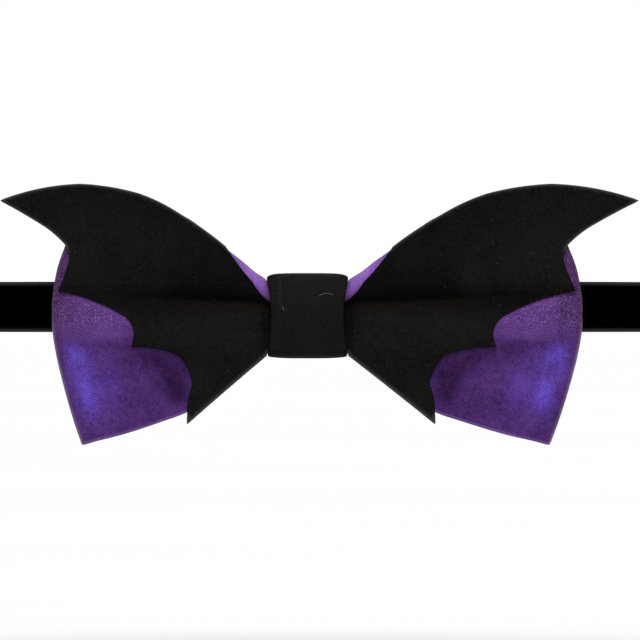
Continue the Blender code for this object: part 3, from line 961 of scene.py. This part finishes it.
def crease_shade(reach, part):
    """Painted shade: how dark the cloth is painted along the crease and, more softly, above and below it
    and right beside the knot.
    """
    above = (part - curve("valley", reach)) * curve("half_height", reach) * MM
    near = np.exp(-np.clip(reach - 9.0 * MM, 0.0, None) / (16.0 * MM))
    line = np.exp(-np.where(above > 0.0, above / (1.3 * MM), -above / (0.35 * MM)))
    upper = 0.6 * eased((29.5 * MM - reach) / (5.0 * MM)) * np.exp(-np.maximum(above, 0.0) / (14.0 * MM))
    upper = upper * eased(above / (0.6 * MM) + 1.0)
    lower = 0.6 * eased((48.0 * MM - reach) / (5.0 * MM)) * (1.0 - 0.8 * near)
    haze = upper + lower * np.exp(-((above + 1.2 * MM) / (1.6 * MM)) ** 2)
    beside = 0.5 * np.exp(-np.clip(reach - 8.2 * MM, 0.0, None) / (0.6 * MM))
    return clamped(haze + (0.02 + 0.26 * near) * line + beside)


def warm_light_band(reach, part):
    """Painted light: the faintly brownish band just below the crease, where the cloth faces up."""
    below = (curve("valley", reach) - part) * curve("half_height", reach) * MM
    fade = clamped((40.0 * MM - reach) / (10.0 * MM))
    return fade * np.exp(-((below - 1.4 * MM) / (1.1 * MM)) ** 2)


def rim_light(plan, gap):
    """How far the fibres of the cut edge catch the light, where no satin lies behind it."""
    low = plan[:, 1] + 10.0 + 0.829 * (plan[:, 0] - 8.5)
    bottom = 1.0 - eased((low - 1.0) / 1.5)
    top = eased((plan[:, 1] - 10.8) / 1.5)
    return clamped(top + bottom) * np.exp(-(gap / (0.3 + 0.13 * bottom)) ** 2)


def make_batwing(side, name, node, settings, material):
    plan, triangles, outline = wing_plan(settings.edge_radius, 0.6 * MM)
    reach, part = wing_places(plan)
    gap = outline_distance(plan, outline)
    lean = clamped(1.0 - gap / settings.edge_radius)
    half = settings.thickness / 2.0
    swell = half * np.sqrt(1.0 - lean * lean)
    middle = front_depth(reach, part) + WING_GAP + half
    front = bow_points(side, reach, part, middle + swell)
    back = bow_points(side, reach, part, middle - swell)
    rim = gap < 1e-7
    verts = np.concatenate([front, back[~rim]])
    behind = np.arange(len(plan))
    behind[~rim] = len(plan) + np.arange(np.count_nonzero(~rim))
    faces = []
    for triangle in triangles:
        faces.append(triangle)
        faces.append(tuple(int(behind[corner]) for corner in reversed(triangle)))
    wing = add_piece(name, verts, faces, material)
    turn_out(wing)
    values = {
        # Painted light on the cut edge, painted shade along the crease, a painted brownish light below
        # it and painted light in zones
        "edge": rim_light(plan / MM, gap / MM),
        "fold": crease_shade(reach, part),
        "warm": warm_light_band(reach, part),
        "lit": zone_amount(LIT_CLOTH, plan[:, 0], plan[:, 1]),
    }
    for label, value in values.items():
        set_attribute(wing, label, np.concatenate([value, value[~rim]]))
    dress(wing, "black_cloth", node)
    spans = outline.max(axis=0) - outline.min(axis=0)
    size = spans * np.array([LEFT_STRETCH if side < 0 else RIGHT_STRETCH, 1.0])
    return wing


def turn_out(piece):
    shape = bmesh.new()
    shape.from_mesh(piece.data)
    bmesh.ops.recalc_face_normals(shape, faces=shape.faces)
    shape.to_mesh(piece.data)
    shape.free()


# Fibres, by Geometry Nodes

class Growth(Graph):
    """A Geometry Nodes tree under way, with named inputs."""

    def __init__(self, name, **inputs):
        super().__init__(bpy.data.node_groups.new(name, "GeometryNodeTree"))
        sockets = {"Geometry": "NodeSocketGeometry", **inputs}
        self.identifiers = {
            label: self.tree.interface.new_socket(label, in_out="INPUT",
                                                  socket_type=kind).identifier
            for label, kind in sockets.items()}
        self.tree.interface.new_socket("Geometry", in_out="OUTPUT",
                                       socket_type="NodeSocketGeometry")
        self.start = self.tree.nodes.new("NodeGroupInput")
        self.end = self.tree.nodes.new("NodeGroupOutput")

    def input(self, label):
        return Channel(self, self.start.outputs[label])

    def other(self, channel, label):
        """Another output of the node that a channel comes from."""
        return Channel(self, channel.socket.node.outputs[label])

    def finish(self, geometry, material):
        real = self.add("GeometryNodeRealizeInstances", {}, {"Geometry": geometry})
        painted = self.add("GeometryNodeSetMaterial", {},
                           {"Geometry": real, "Material": material})
        self.feed(self.end.inputs["Geometry"], painted)
        return self


def grown(tree, source, name, values):
    """Runs a tree on a mesh object and keeps the result as a plain mesh of its own."""
    carrier = bpy.data.objects.new(name + "_carrier", source)
    bpy.context.collection.objects.link(carrier)
    modifier = carrier.modifiers.new("grow", "NODES")
    modifier.node_group = tree.tree
    for label, value in values.items():
        modifier[tree.identifiers[label]] = value
    bpy.context.view_layer.update()
    evaluated = carrier.evaluated_get(bpy.context.evaluated_depsgraph_get())
    mesh = bpy.data.meshes.new_from_object(evaluated)
    mesh.name = name
    bpy.data.objects.remove(carrier)
    piece = bpy.data.objects.new(name, mesh)
    bpy.context.collection.objects.link(piece)
    return piece


def fibre_tree(name, material, bend):
    """Short bent fibres scattered over a mesh, leaning along its surface."""
    tree = Growth(name, Density="NodeSocketFloat", Length="NodeSocketFloat",
                  Radius="NodeSocketFloat", Seed="NodeSocketInt")
    seed = tree.input("Seed")
    points = tree.add("GeometryNodeDistributePointsOnFaces", {}, {
        "Mesh": tree.input("Geometry"), "Density": tree.input("Density"), "Seed": seed})
    arc = tree.add("GeometryNodeCurveQuadraticBezier", {}, {
        "Resolution": 4, "Start": (0.0, 0.0, 0.0), "Middle": (0.5 * bend, 0.0, 0.55),
        "End": (bend, 0.0, 0.75)})
    profile = tree.add("GeometryNodeCurvePrimitiveCircle", {"mode": "RADIUS"}, {
        "Resolution": 3, "Radius": tree.input("Radius")})
    fibre = tree.add("GeometryNodeCurveToMesh", {}, {
        "Curve": arc, "Profile Curve": profile, "Fill Caps": True})
    turn = tree.add("FunctionNodeRandomValue", {"data_type": "FLOAT_VECTOR"}, {
        0: (-0.9, -0.9, 0.0), 1: (0.9, 0.9, 2.0 * math.pi), "Seed": seed})
    turned = tree.add("FunctionNodeRotateRotation", {"rotation_space": "LOCAL"}, {
        "Rotation": tree.other(points, "Rotation"),
        "Rotate By": tree.add("FunctionNodeEulerToRotation", {}, {"Euler": turn})})
    share = tree.add("FunctionNodeRandomValue", {"data_type": "FLOAT"}, {
        2: 0.35, 3: 1.0, "Seed": seed}, 1)
    placed = tree.add("GeometryNodeInstanceOnPoints", {}, {
        "Points": points, "Instance": fibre, "Rotation": turned,
        "Scale": share * tree.input("Length")})
    return tree.finish(placed, material)


def add_fibres(wing, name, tree, values):
    fibres = grown(tree, wing.data, name, values)
    dress(fibres, "black_cloth")
    return fibres


# Knot

def rounded_profile(front, back, half_height, corner, spacing):
    """Points (y, z) round a rectangle with round corners, from the front's top corner."""
    corners = (
        (front + corner, half_height - corner, math.pi),
        (back - corner, half_height - corner, math.pi / 2.0),
        (back - corner, -half_height + corner, 0.0),
        (front + corner, -half_height + corner, -math.pi / 2.0),
    )
    points = []
    for index, (y, z, start) in enumerate(corners):
        arc = [(y + corner * math.cos(start - math.pi / 2.0 * step / 6),
                z + corner * math.sin(start - math.pi / 2.0 * step / 6)) for step in range(7)]
        following = corners[(index + 1) % 4]
        finish = (following[0] + corner * math.cos(following[2]),
                  following[1] + corner * math.sin(following[2]))
        length = math.dist(arc[-1], finish)
        steps = max(2, round(length / spacing))
        run = [(arc[-1][0] + (finish[0] - arc[-1][0]) * step / steps,
                arc[-1][1] + (finish[1] - arc[-1][1]) * step / steps)
               for step in range(1, steps)]
        points += arc + run
    return np.array(points)


CREASE_ACROSS = -5.7 * MM
CREASE_STEP = 0.12 * MM


def knot_grid(thickness):
    """Outer points of the band: columns run round it, rows from its left side to its right."""
    middle = (KNOT_LOW.z + KNOT_HIGH.z) / 2.0
    half_height = (KNOT_HIGH.z - KNOT_LOW.z) / 2.0
    half_width = (KNOT_HIGH.x - KNOT_LOW.x - thickness) / 2.0
    crown = 0.35 * MM
    profile = rounded_profile(KNOT_LOW.y + crown, KNOT_HIGH.y, half_height, 1.7 * MM, 0.45 * MM)
    shares = np.linspace(-1.0, 1.0, 65)
    y = np.repeat(profile[:, 0][:, None], len(shares), axis=1)
    z = np.repeat(profile[:, 1][:, None], len(shares), axis=1)
    share = np.repeat(shares[None], len(profile), axis=0)
    facing = clamped((KNOT_HIGH.y - y) / (KNOT_HIGH.y - KNOT_LOW.y) * 4.0 - 3.0)
    width = half_width - 0.6 * MM * (1.0 - clamped(np.abs(z) / half_height) ** 2)
    x = share * width
    lap = 0.5 - 0.5 * np.tanh((x - CREASE_ACROSS) / (0.2 * MM))
    lap = lap * clamped(z / (6.0 * MM) + 1.0)
    y = y - facing * (crown * (1.0 - share ** 2) - CREASE_STEP * lap)
    flare = 0.45 * MM * clamped((z - 3.0 * MM) / (5.5 * MM))
    flare = flare + 0.12 * MM * clamped((-z - 4.0 * MM) / (3.0 * MM))
    rounding = 0.3 * MM * share ** 12 * clamped(z / half_height) ** 2
    z = z * (1.0 - 0.035 * share ** 4) - rounding
    return np.stack([x + share * flare, y, z + middle - 0.1 * MM], axis=-1)


def make_knot(settings):
    grid = knot_grid(settings.thickness)[::-1]
    knot = add_shell("knot_cloth", grid, settings.thickness, True, knot_finish(settings))
    turn_out(knot)
    line = np.exp(-((grid[:, :, 0] - CREASE_ACROSS) / (0.17 * MM)) ** 2)
    line = line * (grid[:, :, 1] < KNOT_LOW.y + 1.5 * MM)
    line = line * np.clip((grid[:, :, 2] + 5.0 * MM) / (6.0 * MM), 0.1, 1.0)
    set_attribute(knot, "crease", spread(line))
    # Painted highlight along the band's top and bottom edges
    past = np.abs(grid[:, :, 2] - (KNOT_LOW.z + KNOT_HIGH.z) / 2.0)
    edge = np.clip(past / MM - (KNOT_HIGH.z - KNOT_LOW.z) / 2.0 / MM + 0.9, 0.0, 0.8)
    set_attribute(knot, "edge", spread(edge))
    dress(knot, "black_ribbed_cloth", "knot_band")
    add_knot_lint(fibre_finish("knot_lint", (0.20, 0.19, 0.17)))
    return knot


# Pale threads caught on the knot: where each starts, bends and ends, as (x, z)
Thread = namedtuple("Thread", "place start bend end")
LOOSE_THREADS = (
    Thread("right", (2.4, 2.2), (3.7, 3.2), (5.2, 2.45)),
    Thread("left", (-5.15, 0.15), (-5.05, -0.4), (-4.8, -0.75)),
)
THREAD_RADIUS = 0.035 * MM
THREAD_STEPS = 12


def add_knot_lint(material):
    """The loose threads, as thin tubes just in front of the band."""
    verts, faces = [], []
    for thread in LOOSE_THREADS:
        shares = np.linspace(0.0, 1.0, THREAD_STEPS)[:, None]
        start, bend, end = (np.array(point) * MM for point in thread[1:])
        line = (start * (1.0 - shares) ** 2 + bend * 2.0 * shares * (1.0 - shares)
                + end * shares ** 2)
        along = unit(np.gradient(line, axis=0))
        rings = []
        for angle in np.arange(6) * math.pi / 3.0:
            side, lift = THREAD_RADIUS * math.cos(angle), THREAD_RADIUS * math.sin(angle)
            x, z = line[:, 0] - along[:, 1] * side, line[:, 1] + along[:, 0] * side
            y = KNOT_LOW.y + 0.35 * MM * (line[:, 0] / (8.2 * MM)) ** 2 - 0.08 * MM - lift
            rings.append(np.stack([x, y, z], axis=-1))
        first = len(verts)
        verts += np.stack(rings, axis=1).reshape(-1, 3).tolist()
        faces += [tuple(corner + first for corner in face)
                  for face in loop_faces(THREAD_STEPS, 6, False)]
    lint = add_piece("knot_lint", verts, faces, material)
    turn_out(lint)
    dress(lint, "black_ribbed_cloth")


# Neck strap

def strap_line(angles, lift=0.0):
    """Points (x, y) round the neck, at a distance outside the tape's inner face."""
    half_width = STRAP_HIGH.x - 1.0 * MM
    half_depth = -STRAP_LOW.y - 1.0 * MM
    inner = np.stack([half_width * np.sin(angles), -half_depth * np.cos(angles)], axis=-1)
    outward = unit(inner / np.array([half_width ** 2, half_depth ** 2]))
    return inner + outward * lift, outward


def make_strap(settings):
    opening = STRAP_END_GAP / 2.0 / STRAP_HIGH.x
    angles = np.linspace(-math.pi + opening, math.pi - opening, 361)
    thickness = 0.8 * MM
    line, _ = strap_line(angles, 0.9 * MM)
    margin = thickness / 2.0 - EDGE_CURL
    heights = np.linspace(STRAP_LOW.z + margin, STRAP_HIGH.z - margin, 13)
    grid = np.stack([np.repeat(line[:, 0][:, None], len(heights), axis=1),
                     np.repeat(line[:, 1][:, None], len(heights), axis=1),
                     np.repeat(heights[None], len(angles), axis=0)], axis=-1)
    material = tape_finish(settings)
    tape = add_shell("tape", grid, thickness, False, material)
    turn_out(tape)
    dress(tape, "black_tape", "neck_strap")
    ribs = make_ribs(settings, material)
    return tape


def rib_tree(material):
    """Low ribs across a tape, one at each step along a line of edges."""
    tree = Growth("tape_ribs", Pitch="NodeSocketFloat", Width="NodeSocketFloat",
                  Height="NodeSocketFloat")
    path = tree.add("GeometryNodeMeshToCurve", {}, {"Mesh": tree.input("Geometry")})
    points = tree.add("GeometryNodeCurveToPoints", {"mode": "LENGTH"}, {
        "Curve": path, "Length": tree.input("Pitch")})
    line = tree.add("GeometryNodeCurvePrimitiveLine", {"mode": "POINTS"}, {
        "Start": (0.0, 0.0, -0.5), "End": (0.0, 0.0, 0.5)})
    profile = tree.add("GeometryNodeCurvePrimitiveCircle", {"mode": "RADIUS"}, {
        "Resolution": 6, "Radius": tree.input("Height")})
    scale = tree.add("ShaderNodeCombineXYZ", {}, {0: 1.0, 1: 1.0, 2: tree.input("Width")})
    core = tree.add("GeometryNodeTransform", {}, {"Geometry": line, "Scale": scale})
    rib = tree.add("GeometryNodeCurveToMesh", {}, {
        "Curve": core, "Profile Curve": profile, "Fill Caps": True})
    placed = tree.add("GeometryNodeInstanceOnPoints", {}, {"Points": points, "Instance": rib})
    return tree.finish(placed, material)


def make_ribs(settings, material):
    """Ribs on both faces of the tape."""
    opening = STRAP_END_GAP / 2.0 / STRAP_HIGH.x
    angles = np.linspace(-math.pi + opening * 3.0, math.pi - opening * 3.0, 721)
    mesh = bpy.data.meshes.new("rib_lines")
    verts, edges = [], []
    for lift in (0.9 * MM, 0.1 * MM):
        line, _ = strap_line(angles, lift)
        first = len(verts)
        verts += [(x, y, 0.0) for x, y in line]
        edges += [(first + step, first + step + 1) for step in range(len(angles) - 1)]
    mesh.from_pydata(verts, edges, [])
    ribs = grown(rib_tree(material), mesh, "tape_ribs", {
        "Pitch": settings.rib_pitch, "Width": STRAP_WIDTH - 0.9 * MM,
        "Height": settings.rib_height})
    ribs.data.shade_smooth()
    dress(ribs, "black_tape")
    return ribs


# Clasp

def make_clasp(settings):
    half_height = (CLASP_HIGH.z - CLASP_LOW.z) / 2.0
    profile = rounded_profile(CLASP_LOW.y, CLASP_HIGH.y, half_height, 1.2 * MM, 0.8 * MM)
    rim = settings.wall / 2.0
    x = np.linspace(CLASP_LOW.x + rim, CLASP_HIGH.x - rim, 9)
    grid = np.stack([np.repeat(x[None], len(profile), axis=0),
                     np.repeat(profile[:, 0][:, None], len(x), axis=1),
                     np.repeat(profile[:, 1][:, None], len(x), axis=1)], axis=-1)[::-1]
    clasp = add_shell("clasp_sleeve", grid, settings.wall, True, clasp_finish(settings))
    turn_out(clasp)
    dress(clasp, "black_plastic", "clasp")
    return clasp


# Stage

def set_world(room_light):
    """A white room: its light on the bow is softer than its look."""
    world = bpy.data.worlds.new("studio")
    world.use_nodes = True
    graph = Graph(world.node_tree)
    seen = graph.add("ShaderNodeLightPath", {}, {}, "Is Camera Ray")
    wall = world.node_tree.nodes["Background"]
    graph.feed(wall.inputs["Color"], (1.0, 1.0, 1.0))
    graph.feed(wall.inputs["Strength"], seen * (1.0 - room_light) + room_light)
    bpy.context.scene.world = world


def add_key(settings):
    """One soft light from above and in front of the bow."""
    data = bpy.data.lights.new("key", "SUN")
    data.energy = settings.key_strength
    data.angle = settings.key_softness
    light = bpy.data.objects.new("key", data)
    light.rotation_euler = (math.pi / 2.0 - settings.key_height, 0.0, 0.0)
    bpy.context.collection.objects.link(light)


def make_stage(settings):
    scene = bpy.context.scene
    scene.view_settings.view_transform = "Standard"
    set_world(settings.room_light)
    add_key(settings)
    depth = settings.floor_drop - BOW_LOW.z
    size = 30.0
    corners = [(-size, -size, -depth), (size, -size, -depth), (size, size, -depth),
               (-size, size, -depth)]
    add_piece("floor", corners, [(0, 1, 2, 3)], floor_finish())
    data = bpy.data.cameras.new("camera")
    data.lens = data.sensor_width * settings.camera_distance / settings.picture_width
    data.clip_end = 100.0
    camera = bpy.data.objects.new("camera", data)
    across, up = picture_place(*PICTURE_CENTRE)
    camera.location = (across, BOW_DEPTH - settings.camera_distance, up)
    camera.rotation_euler = (math.pi / 2.0, 0.0, 0.0)
    bpy.context.collection.objects.link(camera)
    scene.camera = camera


PICTURE_CENTRE = (320.0, 320.0)
KNOT_PIXEL = (307.5, 306.8)
PIXEL = 0.2065 * MM


def picture_place(across, down):
    """Where a pixel of the picture lies at the bow, as (x, z)."""
    return (across - KNOT_PIXEL[0]) * PIXEL, (KNOT_PIXEL[1] - down) * PIXEL


# Operators

class BOWTIE_OT_satin_bow(bpy.types.Operator):
    """Make the folded satin bow"""

    bl_idname = "bowtie.satin_bow"
    bl_label = "Satin bow"

    def execute(self, context):
        make_satin_bow(context.scene.bowtie_satin)
        return {"FINISHED"}


class BOWTIE_OT_batwings(bpy.types.Operator):
    """Make both cloth wings with their loose fibres"""

    bl_idname = "bowtie.batwings"
    bl_label = "Bat wings"

    def execute(self, context):
        settings = context.scene.bowtie_wing
        cloth = black_cloth_finish(settings)
        fuzz = fibre_tree("wing_fuzz", fibre_finish("fuzz", (0.012, 0.0115, 0.011)), 0.7)
        lint = fibre_tree("wing_lint", fibre_finish("lint", (0.16, 0.15, 0.14)), 0.9)
        for side, word in ((-1, "left"), (1, "right")):
            wing = make_batwing(side, f"wing_cloth_{word}", f"batwing_{word}", settings, cloth)
            seed = 11 if side < 0 else 23
            add_fibres(wing, f"wing_fuzz_{word}", fuzz, {
                "Density": settings.fibre_density, "Length": 0.42 * MM,
                "Radius": 0.02, "Seed": seed})
            add_fibres(wing, f"wing_lint_{word}", lint, {
                "Density": settings.lint_density, "Length": 0.55 * MM,
                "Radius": 0.035, "Seed": seed + 5})
        return {"FINISHED"}


class BOWTIE_OT_knot(bpy.types.Operator):
    """Make the band round the middle"""

    bl_idname = "bowtie.knot"
    bl_label = "Knot band"

    def execute(self, context):
        make_knot(context.scene.bowtie_knot)
        return {"FINISHED"}


class BOWTIE_OT_strap(bpy.types.Operator):
    """Make the ribbed tape round the neck"""

    bl_idname = "bowtie.strap"
    bl_label = "Neck strap"

    def execute(self, context):
        make_strap(context.scene.bowtie_strap)
        return {"FINISHED"}


class BOWTIE_OT_clasp(bpy.types.Operator):
    """Make the sleeve at the nape"""

    bl_idname = "bowtie.clasp"
    bl_label = "Clasp"

    def execute(self, context):
        make_clasp(context.scene.bowtie_clasp)
        return {"FINISHED"}


class BOWTIE_OT_stage(bpy.types.Operator):
    """Make the camera, the lights and the floor"""

    bl_idname = "bowtie.stage"
    bl_label = "Stage"

    def execute(self, context):
        make_stage(context.scene.bowtie_stage)
        return {"FINISHED"}


class BOWTIE_PT_panel(bpy.types.Panel):
    """Lists the pieces of the bow tie in the sidebar"""

    bl_idname = "BOWTIE_PT_panel"
    bl_label = "Bow tie"
    bl_space_type = "VIEW_3D"
    bl_region_type = "UI"
    bl_category = "Bow tie"

    def draw(self, context):
        for operator in OPERATORS:
            self.layout.operator(operator.bl_idname)
        for name, group in SETTINGS.items():
            box = self.layout.box()
            for label in group.__annotations__:
                box.prop(getattr(context.scene, name), label)


SETTINGS = {
    "bowtie_stage": StageSettings,
    "bowtie_satin": SatinSettings,
    "bowtie_wing": WingSettings,
    "bowtie_knot": KnotSettings,
    "bowtie_strap": StrapSettings,
    "bowtie_clasp": ClaspSettings,
}
OPERATORS = (
    BOWTIE_OT_stage,
    BOWTIE_OT_satin_bow,
    BOWTIE_OT_batwings,
    BOWTIE_OT_knot,
    BOWTIE_OT_strap,
    BOWTIE_OT_clasp,
)
CLASSES = (*SETTINGS.values(), *OPERATORS, BOWTIE_PT_panel)


def register():
    for item in CLASSES:
        bpy.utils.register_class(item)
    for name, group in SETTINGS.items():
        setattr(bpy.types.Scene, name, bpy.props.PointerProperty(type=group))


def unregister():
    for name in SETTINGS:
        delattr(bpy.types.Scene, name)
    for item in reversed(CLASSES):
        bpy.utils.unregister_class(item)


def main():
    register()
    for operator in (bpy.ops.bowtie.stage, bpy.ops.bowtie.satin_bow, bpy.ops.bowtie.batwings,
                     bpy.ops.bowtie.knot, bpy.ops.bowtie.strap, bpy.ops.bowtie.clasp):
        operator()


if __name__ == "__main__":
    main()
